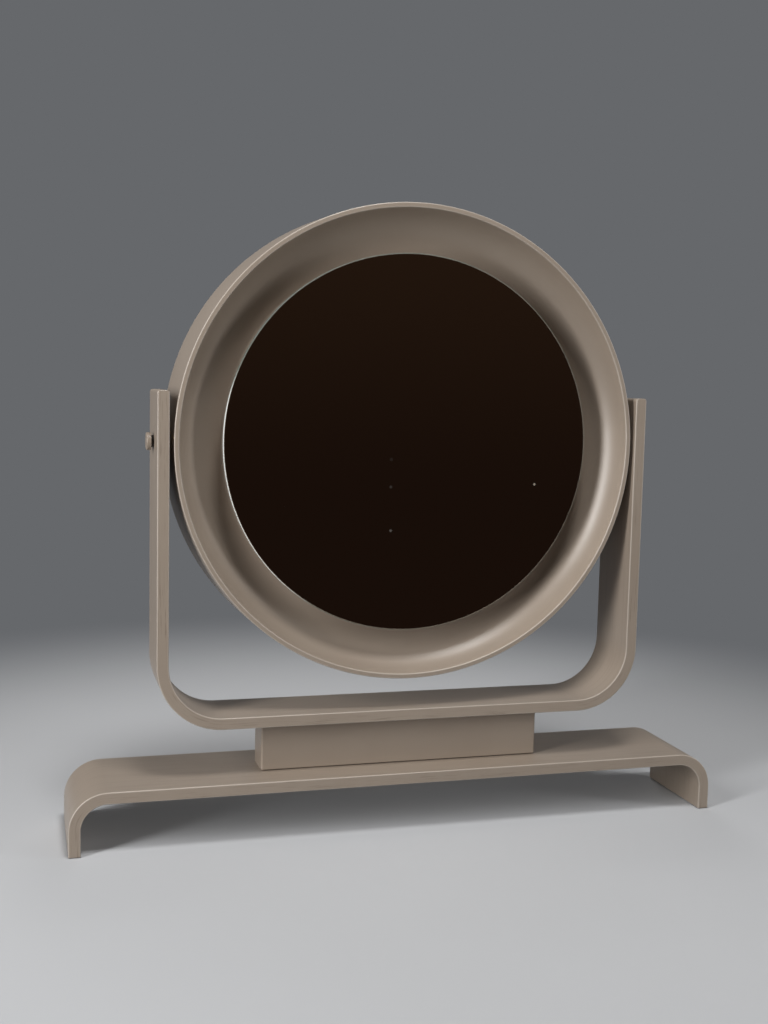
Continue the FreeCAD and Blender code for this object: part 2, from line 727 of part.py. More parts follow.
def make_pivot(name, side):
    turned_on_pivot("%s_rim_insert" % name, side,
                    ring_section(insert_end_x, pivot_seat_x, running_bore, size("rim_insert_diameter") / 2))
    turned_on_pivot("%s_friction_washer" % name, side,
                    ring_section(pivot_seat_x + size("turning_gap"), flange_x, washer_bore,
                                 size("friction_washer_diameter") / 2))
    turned_on_pivot("%s_arm_bush" % name, side,
                    [(flange_x, running_bore), (arm_outside, running_bore),
                     (arm_outside, bush_radius), (arm_inside, bush_radius),
                     (arm_inside, flange_radius), (flange_x, flange_radius)])
    turned_on_pivot("%s_outer_washer" % name, side,
                    ring_section(arm_outside, outer_washer_x, washer_bore, size("outer_washer_diameter") / 2))
    turned_on_pivot("%s_pivot_stud" % name, side,
                    [(stud_end_x, 0), (stud_end_x, stud_radius),
                     (socket_end_x, stud_radius), (socket_end_x, 0)])
    knob = turned_on_pivot("%s_pivot_knob" % name, side,
                           [(knob_x, stud_radius), (socket_end_x, stud_radius), (socket_end_x, 0),
                            (knob_face_x, 0), (knob_face_x, knob_radius), (knob_x, knob_radius)])
    fillet(knob, size("knob_round"), lambda edge: near(abs(edge.BoundBox.XMin), knob_face_x)
           and near(abs(edge.BoundBox.XMax), knob_face_x))


make_pivot("left", LEFT)
make_pivot("right", RIGHT)

# --------------------------------------------------------------------------------------------------
# Check the document and write the sub-parts
# --------------------------------------------------------------------------------------------------

doc.recompute()
for item in doc.Objects:
    if "Invalid" in item.State or "Error" in item.State:
        raise RuntimeError("%s did not recompute: %s" % (item.Label, item.State))
for cut in cuts:
    if cut.BaseFeature.Shape.Volume - cut.Shape.Volume < LEAST_CUT:
        raise RuntimeError("%s cuts nothing" % cut.Label)
for item in parts:
    if item.Shape.isNull() or not item.Shape.isValid() or not item.Shape.Solids:
        raise RuntimeError("%s has no valid shape" % item.Label)

os.makedirs("parts", exist_ok=True)
for item in parts:
    item.Shape.exportStep("parts/%s.step" % item.Label)
    box = item.Shape.BoundBox
    print("%-24s %2d solid(s)  x %7.1f..%7.1f  y %6.1f..%6.1f  z %6.1f..%6.1f" % (
        item.Label, len(item.Shape.Solids), box.XMin, box.XMax, box.YMin, box.YMax, box.ZMin, box.ZMax))
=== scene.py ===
# %% [markdown]
# A table mirror on a bent-plywood bench
# --------------------------------------
# This lesson dresses one object: a round mirror in a deep turned rim, which tips between the two
# arms of a bent-plywood yoke. The yoke stands on a block with a slim drawer, and the block on a
# low bench whose ends are bent down as feet. All the wood that shows wears one satin taupe
# lacquer. The construction is loaded first, as a fixed frame in metres. It already has every
# shape, down to the small roundings, so a second set of meshes would only lie on top of the
# first. Each later cell adds a finish, a surface of the studio, a lamp or the camera.

from collections import namedtuple
import math

import bmesh
import bpy
from mathutils import Matrix, Vector


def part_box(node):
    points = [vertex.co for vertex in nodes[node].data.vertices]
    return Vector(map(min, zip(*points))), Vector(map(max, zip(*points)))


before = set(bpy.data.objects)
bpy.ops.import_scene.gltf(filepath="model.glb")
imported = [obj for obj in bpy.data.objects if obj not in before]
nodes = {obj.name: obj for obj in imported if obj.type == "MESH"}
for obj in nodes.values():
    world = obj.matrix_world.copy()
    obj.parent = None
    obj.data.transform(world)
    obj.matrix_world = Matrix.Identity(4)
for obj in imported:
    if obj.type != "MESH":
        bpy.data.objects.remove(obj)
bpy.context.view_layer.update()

# %% [markdown]
# Sizes that the finishes need. Most can be read from the frame, as the box round a piece, so
# that they follow when a piece changes. The thickness of the plywood and the outer radius of its
# bends don't show in a box, so they are written here once, in metres.

# %% Measure the pieces
MM = 0.001
PLY = 12 * MM
BENCH_BEND = 38 * MM
YOKE_BEND = 68 * MM

bench_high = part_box("base_bench")[1]
yoke_low, yoke_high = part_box("yoke")
rim_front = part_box("mirror_rim")[0].y
glass_low, glass_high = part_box("mirror_glass")
pivot_height = (glass_low.z + glass_high.z) / 2
glass_radius = (glass_high.x - glass_low.x) / 2
print("pivot %.1f mm up, glass %.1f mm across" % (pivot_height / MM, 2 * glass_radius / MM))

# %% [markdown]
# Shader maths, written as Python
# -------------------------------
# A finish is a network of small nodes. Placed by hand or written out one by one, it is long and
# hard to read. So a small class wraps an output socket and lets Python's own operators add the
# nodes: a + b becomes a Math node, or a Vector Math node for vectors, or a Mix node for colours,
# because a Math node would turn a colour grey. The reflected forms are there too, so that
# 1 - mask works. Two plain numbers never meet in a node, since Python has worked them out.

# %% Wrap a socket
# Where a Mix node keeps its mask, its two colours and what comes out.
MIX_FACTOR, MIX_A, MIX_B, MIX_RESULT = 0, 6, 7, 2


def add_node(tree, kind, settings=(), values=(), output=0):
    """Make one node: its settings first, because they change its sockets, then values and links."""
    node = tree.nodes.new(kind)
    for name, setting in dict(settings).items():
        setattr(node, name, setting)
    for name, value in dict(values).items():
        if isinstance(value, Signal):
            tree.links.new(value.socket, node.inputs[name])
        else:
            node.inputs[name].default_value = value
    return Signal(tree, node.outputs[output]) if node.outputs else node


class Signal:
    """An output socket that can be added, multiplied and mixed like a number."""

    def __init__(self, tree, socket):
        self.tree = tree
        self.socket = socket

    def work_out(self, operation, other, swapped=False):
        """The node for one operation on this signal and a number or another signal."""
        kinds = [item.socket.type for item in (self, other) if isinstance(item, Signal)]
        first, second = (other, self) if swapped else (self, other)
        if "RGBA" in kinds:
            return add_node(self.tree, "ShaderNodeMix",
                            {"data_type": "RGBA", "blend_type": operation},
                            {MIX_FACTOR: 1, MIX_A: first, MIX_B: second}, MIX_RESULT)
        if kinds == ["VECTOR"] and operation == "MULTIPLY":
            return add_node(self.tree, "ShaderNodeVectorMath", {"operation": "SCALE"},
                            {"Vector": self, "Scale": other})
        kind = "ShaderNodeVectorMath" if "VECTOR" in kinds else "ShaderNodeMath"
        return add_node(self.tree, kind, {"operation": operation}, {0: first, 1: second})

    def __add__(self, other):
        return self.work_out("ADD", other)

    def __radd__(self, other):
        return self.work_out("ADD", other, swapped=True)

    def __sub__(self, other):
        return self.work_out("SUBTRACT", other)

    def __rsub__(self, other):
        return self.work_out("SUBTRACT", other, swapped=True)

    def __mul__(self, other):
        return self.work_out("MULTIPLY", other)

    def __rmul__(self, other):
        return self.work_out("MULTIPLY", other)

    def __truediv__(self, other):
        return self.work_out("DIVIDE", other)

    def __rtruediv__(self, other):
        return self.work_out("DIVIDE", other, swapped=True)

    def function(self, operation, *others):
        """Any other Math node, such as ABSOLUTE or MINIMUM."""
        values = dict(enumerate((self,) + others))
        return add_node(self.tree, "ShaderNodeMath", {"operation": operation}, values)

    def rise(self, low, high):
        """A soft step: 0 up to low, 1 from high on."""
        return add_node(self.tree, "ShaderNodeMapRange", {"interpolation_type": "SMOOTHSTEP"},
                        {"Value": self, "From Min": low, "From Max": high})

    def part(self, letter):
        """The X, Y or Z of a vector."""
        return add_node(self.tree, "ShaderNodeSeparateXYZ", values={"Vector": self}, output=letter)

    def length(self):
        """How long a vector is."""
        return add_node(self.tree, "ShaderNodeVectorMath", {"operation": "LENGTH"}, {0: self},
                        "Value")

    def mix(self, other, mask):
        """This colour where the mask is 0, the other where it is 1."""
        return mix_colours(self.tree, self, other, mask)


def mix_colours(tree, first, second, mask):
    """Two colours, fixed or from a socket, blended by a mask."""
    return add_node(tree, "ShaderNodeMix", {"data_type": "RGBA"},
                    {MIX_FACTOR: mask, MIX_A: first, MIX_B: second}, MIX_RESULT)


print("signals ready")

# %% [markdown]
# A finish, as every material below is built: one Principled shader, a place measured in
# millimetres on the piece itself, and helpers for what all finishes share, which is cloudiness,
# streaks and relief. The place could come from an unwrapped map, but a map has seams and would
# have to be drawn for each piece. The piece's own coordinates need no map, and they keep the
# grain in the wood when the mirror tips.

# %% The finish class
def linear(red, green, blue):
    """A colour given in the 0 to 255 of a paint card, as light."""
    return tuple(((c / 255 + 0.055) / 1.055) ** 2.4 for c in (red, green, blue)) + (1.0,)


class Finish:
    """A material with one Principled shader."""

    def __init__(self, name):
        self.material = bpy.data.materials.new(name)
        self.material.use_nodes = True
        self.tree = self.material.node_tree
        self.shader = self.tree.nodes["Principled BSDF"]
        inside = add_node(self.tree, "ShaderNodeTexCoord", output="Object")
        self.place = inside * (1 / MM)

    def set(self, **values):
        """Give the shader's inputs a value or a link. An underscore stands for a space."""
        for name, value in values.items():
            socket = self.shader.inputs[name.replace("_", " ")]
            if isinstance(value, Signal):
                self.tree.links.new(value.socket, socket)
            else:
                socket.default_value = value

    def blend(self, first, second, mask):
        """Two fixed colours blended by a mask."""
        return mix_colours(self.tree, first, second, mask)

    def cloud(self, size, detail=2.0, place=None, roughness=0.5):
        """Noise between 0 and 1 whose blotches are about so many millimetres across."""
        return add_node(self.tree, "ShaderNodeTexNoise", {"normalize": True},
                        {"Vector": place or self.place, "Scale": 1 / size, "Detail": detail,
                         "Roughness": roughness})

    def streaks(self, places, sizes, detail, roughness=0.5):
        """Noise drawn out along the grain, with its own size in each direction."""
        x, y, z = (place * (1 / size) for place, size in zip(places, sizes))
        drawn_out = add_node(self.tree, "ShaderNodeCombineXYZ", values={"X": x, "Y": y, "Z": z})
        return self.cloud(1, detail, drawn_out, roughness)

    def relief(self, height, depth):
        """Bump: height 0 to 1 stands for so many millimetres."""
        return add_node(self.tree, "ShaderNodeBump",
                        values={"Height": height, "Strength": 1.0, "Distance": depth * MM})


def finish_pieces(material, *names):
    """Put a finish on pieces of the frame."""
    for name in names:
        mesh = nodes[name].data
        mesh.materials.clear()
        mesh.materials.append(material)


print("finishes ready")

# %% [markdown]
# Satin lacquer on bent plywood
# -----------------------------
# The bench and the yoke are strips of veneers, glued and bent over a form, and then sprayed
# taupe. The lacquer hides the wood but not all of it. On the cut edge the veneers drank the paint
# unevenly, so faint dark streaks still run along the strip. On the faces the veneer's long pores
# sink in by a few hundredths of a millimetre. Streaks along one fixed direction would run
# straight through the bends. So a place on the strip is worked out first, as its run along the
# strip from the middle and its distance from the centre of the bend.

# %% Where a place lies on a bent strip
# bend_x and bend_z are the centre of the right-hand bend, and radius is that of the strip's
# middle veneer. rising tells whether the strip turns up or down there, and half_depth is half its
# width from front to back. All sizes are in millimetres.
BentStrip = namedtuple("BentStrip", "bend_x bend_z radius rising half_depth")

bench_strip = BentStrip((bench_high.x - BENCH_BEND) / MM, (bench_high.z - BENCH_BEND) / MM,
                        (BENCH_BEND - PLY / 2) / MM, False, bench_high.y / MM)
yoke_strip = BentStrip((yoke_high.x - YOKE_BEND) / MM, (yoke_low.z + YOKE_BEND) / MM,
                       (YOKE_BEND - PLY / 2) / MM, True, yoke_high.y / MM)


def along_strip(finish, strip):
    """The run along the strip, and the distance from the centre of its bend."""
    across = finish.place.part("X").function("ABSOLUTE")
    height = finish.place.part("Z") - strip.bend_z
    sideways = (across - strip.bend_x).function("MAXIMUM", 0)
    to_flat = (-1 if strip.rising else 1) * height
    flat = to_flat.function("MAXIMUM", 0)
    angle = sideways.function("ARCTAN2", flat)
    from_centre = (sideways * sideways + flat * flat).function("SQRT")
    leg = (-1 * to_flat).function("MAXIMUM", 0)
    run = across.function("MINIMUM", strip.bend_x) + angle * strip.radius + leg
    return run, from_centre


print("strips bend %.0f mm out on the bench and %.0f mm out on the yoke"
      % (bench_strip.bend_x, yoke_strip.bend_x))

# %% [markdown]
# Both strips also have long rounded edges, and a paler line is painted along them as a
# highlight, where the rounded edges catch the lamps. Blender can find edges by how pointed a mesh
# is, but what it finds depends on how finely the mesh is cut. Two masks multiplied give a line of
# the same width everywhere: close to one face, and close to the next.

# %% The veneer's marks and the painted edge highlights
GRAIN = linear(104, 90, 78)
# A paler colour, painted as a highlight along rounded edges.
PAINTED_EDGE_LINE = linear(200, 190, 179)
PAINTED_LINE_FROM, PAINTED_LINE_TO = 1.4, 0.7                     # millimetres from a face
PAINTED_LINE_STRIP, PAINTED_LINE_LIP = 0.48, 0.50
CUT_EDGE_FROM, CUT_EDGE_TO = 0.9, 0.2           # millimetres from the cut edge
# How large a mark is in each direction, in millimetres, and the noise between which it shows.
EDGE_STREAK, EDGE_SHOWS = (38, 1.5, 1), (0.52, 0.76)
FACE_PORE, FACE_SHOWS = (110, 4, 1), (0.46, 0.72)
PATCH_SIZE, PATCH_SHOWS = 60, (0.42, 0.66)
ROUGH_GRAIN = 0.6
EDGE_DARK, EDGE_DARKER, FACE_DARK = 0.2, 0.6, 0.15
EDGE_SINK, FACE_SINK = 1.2, 0.7


def veneer_marks_and_highlight(finish, strip, colour, height):
    """A strip's colour and height, with its grain and a painted highlight along its edges."""
    run, from_centre = along_strip(finish, strip)
    beside = finish.place.part("Y")
    to_side = beside.function("ABSOLUTE")
    on_edge = to_side.rise(strip.half_depth - CUT_EDGE_FROM, strip.half_depth - CUT_EDGE_TO)
    edge_grain = finish.streaks((run, from_centre, 0), EDGE_STREAK, detail=3, roughness=ROUGH_GRAIN)
    edge_grain = edge_grain.rise(*EDGE_SHOWS)
    face_grain = finish.streaks((run, beside, 0), FACE_PORE, detail=4, roughness=ROUGH_GRAIN)
    face_grain = face_grain.rise(*FACE_SHOWS)
    patches = finish.cloud(PATCH_SIZE, detail=1).rise(*PATCH_SHOWS)
    marks = (on_edge * edge_grain * (EDGE_DARK + patches * EDGE_DARKER)
             + (1 - on_edge) * face_grain * FACE_DARK)
    # A paler line along the long rounded edges, painted as a highlight.
    to_face = (from_centre - strip.radius).function("ABSOLUTE") - PLY / 2 / MM
    edge_highlight_mask = (to_side.rise(strip.half_depth - PAINTED_LINE_FROM, strip.half_depth - PAINTED_LINE_TO)
              * to_face.rise(-PAINTED_LINE_FROM, -PAINTED_LINE_TO))
    colour = colour.mix(GRAIN, marks).mix(PAINTED_EDGE_LINE, edge_highlight_mask * PAINTED_LINE_STRIP)
    height = height - (1 - on_edge) * face_grain * FACE_SINK - on_edge * edge_grain * EDGE_SINK
    return colour, height


print("veneer marks ready")

# %% [markdown]
# The rim's lip is a narrow flat ring at the very front, and the same paler line is painted as a
# highlight along its two rounded edges. A second material on a ring of faces would start and stop
# as hard steps. The distance from the middle of the mirror finds both edges, and lets the line
# fade in and out.

# %% The painted highlights on the lip's edges
LIP_MIDDLE, LIP_HALF = 243.9, 2.6               # millimetres, its radius and half its width


def place_on_mirror(finish):
    """Millimetres to the right of the mirror's middle, above it and away from it."""
    across = finish.place.part("X")
    up = finish.place.part("Z") - pivot_height / MM
    return across, up, (across * across + up * up).function("SQRT")


def lip_highlight_mask(finish):
    """1 on the two rounded edges of the rim's lip, where a highlight is painted."""
    from_middle = place_on_mirror(finish)[2]
    aside = (from_middle - LIP_MIDDLE).function("ABSOLUTE")
    forward = -1 * finish.place.part("Y") + rim_front / MM
    return forward.rise(-PAINTED_LINE_FROM, -PAINTED_LINE_TO) * aside.rise(LIP_HALF - PAINTED_LINE_FROM, LIP_HALF - PAINTED_LINE_TO)


print("lip %.1f mm out from the middle of the mirror" % LIP_MIDDLE)

# %% [markdown]
# The lacquer itself is one function, used for every lacquered piece, so that they all match. Flat
# colour would do from afar, but up close sprayed lacquer has a soft cloudiness of a few per cent,
# a fine orange peel from the gun and a little uneven sheen. These are three layers of noise. The
# veneer's marks and a painted highlight along the rounded edges are an extra layer for the strips,
# and a painted highlight on the lip's edges is one for the rim.

# %% Satin lacquer
TAUPE = linear(158, 144, 130)
TAUPE_DEEP = linear(146, 131, 117)
CLOUD_SIZE, CLOUD_SHOWS, CLOUD_DEPTH = 90, (0.30, 0.75), 0.35
PEEL_SIZE, PEEL_HEIGHT = 1.6, 0.5
SHEEN, SHEEN_CHANGE, SHEEN_SIZE = 0.33, 0.08, 35
LACQUER_RELIEF = 0.03                           # millimetres
LACQUER_IOR = 1.62


def lacquer(name, strip=None, lip=False):
    """Satin taupe lacquer, for a bent strip, for the rim with its lip, or for a plain piece."""
    finish = Finish(name)
    clouds = finish.cloud(CLOUD_SIZE, detail=3).rise(*CLOUD_SHOWS)
    colour = finish.blend(TAUPE, TAUPE_DEEP, clouds * CLOUD_DEPTH)
    height = finish.cloud(PEEL_SIZE, detail=1) * PEEL_HEIGHT
    sheen = SHEEN + finish.cloud(SHEEN_SIZE, detail=4) * SHEEN_CHANGE
    if strip:
        colour, height = veneer_marks_and_highlight(finish, strip, colour, height)
    if lip:
        # a paler line painted as a highlight on the lip's two edges
        colour = colour.mix(PAINTED_EDGE_LINE, lip_highlight_mask(finish) * PAINTED_LINE_LIP)
    finish.set(Base_Color=colour, Roughness=sheen, IOR=LACQUER_IOR,
               Normal=finish.relief(height, LACQUER_RELIEF))
    return finish.material


finish_pieces(lacquer("bench_lacquer", bench_strip), "base_bench")
finish_pieces(lacquer("yoke_lacquer", yoke_strip), "yoke")
finish_pieces(lacquer("block_lacquer"), "left_post", "right_post", "block_back_panel", "drawer_front")
finish_pieces(lacquer("rim_lacquer", lip=True), "mirror_rim", "left_pivot_knob", "right_pivot_knob")
print("lacquer on the bench, the yoke, the block, the rim and the knobs")

# %% [markdown]
# The mirror glass
# ----------------
# A mirror is silver behind a plate of glass. It could be built like that, as clear glass over a
# metal sheet, but then each ray has to find its way in and out again. A metallic shader with
# hardly any roughness looks the same from outside. What it shows is the room. Its rim is a
# ground and polished edge, which no silver covers, and is a dull grey-green. A near-white painted
# highlight lies on it low on the left, standing for light that fell in through the face and comes
# out again at the edge. Age has left four small specks in the silver, three of them faint. Each
# is a round mask about a place on the glass, and the masks are joined by taking the greatest.

# %% Silvered glass with a polished edge
SILVER = linear(232, 228, 222)
DULL_EDGE = linear(112, 123, 116)
GLASS_PAINTED_HIGHLIGHT = linear(236, 240, 237)
EDGE_IN_FROM, EDGE_IN_TO = 0.7, 0.5             # millimetres in from the outline
# Where the painted highlight on the glass's edge lies.
GLASS_HIGHLIGHT_SIDE = math.radians(199)                 # turned from the right, over the top
GLASS_HIGHLIGHT_FROM, GLASS_HIGHLIGHT_TO = 0.74, 0.90             # cosines of the angle from that side
SPECK = linear(175, 162, 143)
SPECK_CORE, SPECK_BARE = 0.4, 0.7
SPECKS = [
    # millimetres to the right of the middle of the glass and above it, radius, strength
    (-20.8, -15.9, 2.4, 0.02),
    (-20.7, -44.6, 2.0, 0.06),
    (-19.9, -90.5, 1.9, 0.18),
    (140.1, -42.1, 1.6, 1.20),
]
SMEAR_SIZE, SMEAR_SHOWS = 45, (0.55, 0.80)
POLISHED, SMEARED, GROUND = 0.015, 0.012, 0.16
GLASS_IOR = 1.52


def silver_specks(across, up):
    """Round masks, joined by taking the greatest."""
    specks = None
    for speck_x, speck_up, size, strength in SPECKS:
        aside, above = across - speck_x, up - speck_up
        distance = (aside * aside + above * above).function("SQRT")
        speck = (1 - distance.rise(size * SPECK_CORE, size)) * strength
        specks = specks.function("MAXIMUM", speck) if specks else speck
    return specks


def mirror_finish(name, radius):
    finish = Finish(name)
    across, up, from_middle = place_on_mirror(finish)
    edge = from_middle.rise(radius - EDGE_IN_FROM, radius - EDGE_IN_TO)
    # The near-white on the edge low on the left is a painted highlight.
    facing_highlight = (across * math.cos(GLASS_HIGHLIGHT_SIDE) + up * math.sin(GLASS_HIGHLIGHT_SIDE)) / from_middle
    edge_colour_and_highlight = finish.blend(DULL_EDGE, GLASS_PAINTED_HIGHLIGHT, facing_highlight.rise(GLASS_HIGHLIGHT_FROM, GLASS_HIGHLIGHT_TO))
    specks = silver_specks(across, up)
    bare = edge.function("MAXIMUM", specks * SPECK_BARE)
    smears = finish.cloud(SMEAR_SIZE, detail=4).rise(*SMEAR_SHOWS)
    finish.set(Base_Color=finish.blend(SILVER, edge_colour_and_highlight, edge).mix(SPECK, specks),
               Metallic=1 - bare, Roughness=POLISHED + smears * SMEARED + bare * GROUND,
               IOR=GLASS_IOR)
    return finish.material


finish_pieces(mirror_finish("silvered_glass", glass_radius / MM), "mirror_glass")
print("glass silvered, with", len(SPECKS), "specks")

# %% [markdown]
# Drawer, back and fittings
# -------------------------
# The drawer box and its runners are birch under clear oil. Birch could be left a plain pale
# brown, but its rings and short pores are what tells it from card, so both are noise drawn out
# along the grain: a broad one for the rings and a very fine one for the pores.

# %% Oiled birch
BIRCH_LIGHT, BIRCH_DARK = linear(205, 176, 136), linear(178, 143, 100)
BIRCH_PORE = linear(138, 104, 70)
RING_SIZES, RING_SHOWS = (55, 3.2, 3.2), (0.35, 0.70)
PORE_SIZES, PORE_SHOWS, PORE_DARK = (7, 0.35, 0.35), (0.62, 0.80), 0.55
OILED, OILED_PORES, BIRCH_RELIEF = 0.45, 0.15, 0.05


def oiled_birch(name, grain_along_x):
    finish = Finish(name)
    x, y, z = (finish.place.part(axis) for axis in "XYZ")
    grain_way = (x, y, z) if grain_along_x else (y, x, z)
    rings = finish.streaks(grain_way, RING_SIZES, detail=4).rise(*RING_SHOWS)
    pores = finish.streaks(grain_way, PORE_SIZES, detail=2)
    colour = finish.blend(BIRCH_LIGHT, BIRCH_DARK, rings)
    colour = colour.mix(BIRCH_PORE, pores.rise(*PORE_SHOWS) * PORE_DARK)
    finish.set(Base_Color=colour, Roughness=OILED + pores * OILED_PORES,
               Normal=finish.relief(pores, BIRCH_RELIEF))
    return finish.material


finish_pieces(oiled_birch("oiled_birch_long", True), "drawer_back", "drawer_bottom")
finish_pieces(oiled_birch("oiled_birch_short", False),
              "drawer_left_side", "drawer_right_side", "drawer_runners")
print("birch oiled")

# %% [markdown]
# The drawer is lined with felt, and a strip of felt lies under each foot. Hairs would show only
# from very near, so a fine noise gives the fibres, a coarser one the tufts, and a little sheen
# the pale bloom that felt has along its outline. The back of the mirror is closed by smooth brown
# hardboard, whose fibres are pressed flat and shine a little more.

# %% Felt and hardboard
FIBRE_SHOWS = (0.35, 0.70)
FELT_FIBRE, FELT_TUFT = 0.45, 4                 # millimetres
TUFT_LEAST, TUFT_MORE = 0.6, 0.5
FELT_ROUGHNESS, FELT_SHEEN, FELT_RELIEF = 0.95, 0.35, 0.35
BOARD_LIGHT, BOARD_DARK = linear(116, 84, 58), linear(90, 62, 42)
BOARD_MOTTLED = linear(128, 96, 70)
BOARD_FIBRE = 0.9                               # millimetres
MOTTLE_SIZE, MOTTLE_SHOWS, MOTTLE_PALE = 30, (0.45, 0.75), 0.4
BOARD_ROUGHNESS, BOARD_ROUGHER, BOARD_RELIEF = 0.42, 0.20, 0.05


def felt(name, light, dark):
    finish = Finish(name)
    fibres = finish.cloud(FELT_FIBRE, detail=4, roughness=0.7)
    tufts = finish.cloud(FELT_TUFT, detail=2)
    pale = fibres.rise(*FIBRE_SHOWS) * (TUFT_LEAST + tufts * TUFT_MORE)
    finish.set(Base_Color=finish.blend(dark, light, pale), Roughness=FELT_ROUGHNESS,
               Sheen_Weight=FELT_SHEEN, Normal=finish.relief(fibres, FELT_RELIEF))
    return finish.material


def hardboard(name):
    finish = Finish(name)
    fibres = finish.cloud(BOARD_FIBRE, detail=4, roughness=0.65)
    mottle = finish.cloud(MOTTLE_SIZE, detail=3).rise(*MOTTLE_SHOWS)
    colour = finish.blend(BOARD_LIGHT, BOARD_DARK, fibres.rise(*FIBRE_SHOWS))
    colour = colour.mix(BOARD_MOTTLED, mottle * MOTTLE_PALE)
    finish.set(Base_Color=colour, Roughness=BOARD_ROUGHNESS + fibres * BOARD_ROUGHER,
               Normal=finish.relief(fibres, BOARD_RELIEF))
    return finish.material


finish_pieces(felt("drawer_felt", linear(74, 60, 50), linear(38, 30, 25)), "drawer_lining")
finish_pieces(felt("foot_felt", linear(104, 96, 88), linear(62, 57, 52)), "foot_pads")
finish_pieces(hardboard("hardboard"), "rear_cover")
print("felt laid, back closed with hardboard")

# %% [markdown]
# What is left are the small fittings: foam tape behind the glass, dark fibre washers, zinc-plated
# bolts, studs and screws, and turned brass bushes and inserts. They are seen in gaps and from
# below, so one function for the dull stuffs and one for the metals is enough.

# %% Foam, fibre and metals
DULL_SHOWS = (0.35, 0.65)
TARNISH_SIZE, TARNISH_SHOWS = 3, (0.40, 0.75)
TARNISH_DARK, TARNISH_DULL = 0.6, 0.12
TURNING_SIZE, TURNING_RELIEF = 0.25, 0.008      # millimetres


def dull(name, light, dark, grain_size, grain_depth, roughness):
    """Foam or vulcanised fibre: an even dark stuff with a fine grain."""
    finish = Finish(name)
    grain = finish.cloud(grain_size, detail=3)
    finish.set(Base_Color=finish.blend(dark, light, grain.rise(*DULL_SHOWS)),
               Roughness=roughness, Normal=finish.relief(grain, grain_depth))
    return finish.material


def metal(name, bright, tarnished, roughness):
    """Plated or turned metal, a little tarnished in patches."""
    finish = Finish(name)
    tarnish = finish.cloud(TARNISH_SIZE, detail=4).rise(*TARNISH_SHOWS)
    turning = finish.cloud(TURNING_SIZE, detail=2)
    finish.set(Base_Color=finish.blend(bright, tarnished, tarnish * TARNISH_DARK), Metallic=1.0,
               Roughness=roughness + tarnish * TARNISH_DULL,
               Normal=finish.relief(turning, TURNING_RELIEF))
    return finish.material


finish_pieces(dull("foam", linear(40, 40, 40), linear(18, 18, 18),
                   grain_size=0.5, grain_depth=0.15, roughness=0.85), "mounting_tape")
finish_pieces(dull("fibre", linear(52, 42, 36), linear(28, 23, 20),
                   grain_size=0.6, grain_depth=0.04, roughness=0.60),
              "left_friction_washer", "left_outer_washer",
              "right_friction_washer", "right_outer_washer")
finish_pieces(metal("zinc_steel", linear(206, 208, 208), linear(150, 152, 152), roughness=0.26),
              "frame_bolts", "bolt_washers", "cover_screws", "left_pivot_stud", "right_pivot_stud")
finish_pieces(metal("turned_brass", linear(214, 178, 110), linear(150, 116, 66), roughness=0.24),
              "yoke_inserts", "left_rim_insert", "right_rim_insert", "left_arm_bush",
              "right_arm_bush")
print("fittings finished")

# %% [markdown]
# The studio
# ----------
# The object stands on a pale floor in front of a grey backdrop. Near it the floor is a real
# surface that takes its shadow. Further out it fades into the backdrop's tone, so that no horizon
# shows. A studio would hang one long curved sheet of paper. A flat disc that fades looks the same
# from every side, and it has no bend to catch the light. To the object the floor is a middle
# grey, so that little light comes back up from it, and only direct looks find it pale.

# %% Floor and room
PALE = linear(198, 199, 201)
BACKDROP = linear(102, 104, 107)
PAPER = linear(112, 112, 112)
WHITE = (1, 1, 1, 1)
FLOOR_RADIUS, FLOOR_SIDES = 9.0, 96
FADE_FROM, FADE_TO = 0.5, 1.2                   # metres from the object's middle
ROOM_FILL = 0.012


def emptied_tree(owner):
    """The node tree of a material or a world, with nothing in it."""
    owner.use_nodes = True
    owner.node_tree.nodes.clear()
    return owner.node_tree


def lay_out(name, shape, material):
    """Turn a drawn shape into an object of the studio."""
    mesh = bpy.data.meshes.new(name)
    shape.to_mesh(mesh)
    shape.free()
    mesh.materials.append(material)
    surface = bpy.data.objects.new(name, mesh)
    bpy.context.scene.collection.objects.link(surface)
    return surface


def seen_directly(tree):
    """1 for rays from the camera, and for those that a mirror or glass sends on."""
    camera_ray, glossy_ray, through_ray = (
        add_node(tree, "ShaderNodeLightPath", output=kind)
        for kind in ("Is Camera Ray", "Is Glossy Ray", "Is Transmission Ray"))
    return camera_ray.function("MAXIMUM", glossy_ray).function("MAXIMUM", through_ray)


def floor_finish():
    material = bpy.data.materials.new("studio_floor")
    tree = emptied_tree(material)
    away = add_node(tree, "ShaderNodeTexCoord", output="Object").length()
    direct = seen_directly(tree)
    paper = add_node(tree, "ShaderNodeBsdfDiffuse", values={"Color": PAPER})
    pale = add_node(tree, "ShaderNodeBsdfDiffuse", values={"Color": PALE})
    near = add_node(tree, "ShaderNodeMixShader", values={0: direct, 1: paper, 2: pale})
    far = add_node(tree, "ShaderNodeEmission", values={"Color": BACKDROP, "Strength": 1.0})
    faded = away.rise(FADE_FROM, FADE_TO) * direct
    whole = add_node(tree, "ShaderNodeMixShader", values={0: faded, 1: near, 2: far})
    add_node(tree, "ShaderNodeOutputMaterial", values={"Surface": whole})
    return material


def make_room():
    world = bpy.data.worlds.new("studio_room")
    bpy.context.scene.world = world
    tree = emptied_tree(world)
    direct = seen_directly(tree)
    seen = add_node(tree, "ShaderNodeBackground", values={"Color": BACKDROP, "Strength": 1.0})
    fill = add_node(tree, "ShaderNodeBackground", values={"Color": WHITE, "Strength": ROOM_FILL})
    both = add_node(tree, "ShaderNodeMixShader", values={0: direct, 1: fill, 2: seen})
    add_node(tree, "ShaderNodeOutputWorld", values={"Surface": both})


disc = bmesh.new()
bmesh.ops.create_circle(disc, cap_ends=True, radius=FLOOR_RADIUS, segments=FLOOR_SIDES)
floor = lay_out("studio_floor", disc, floor_finish())
make_room()
print("floor %.0f m across and room made" % (2 * FLOOR_RADIUS))
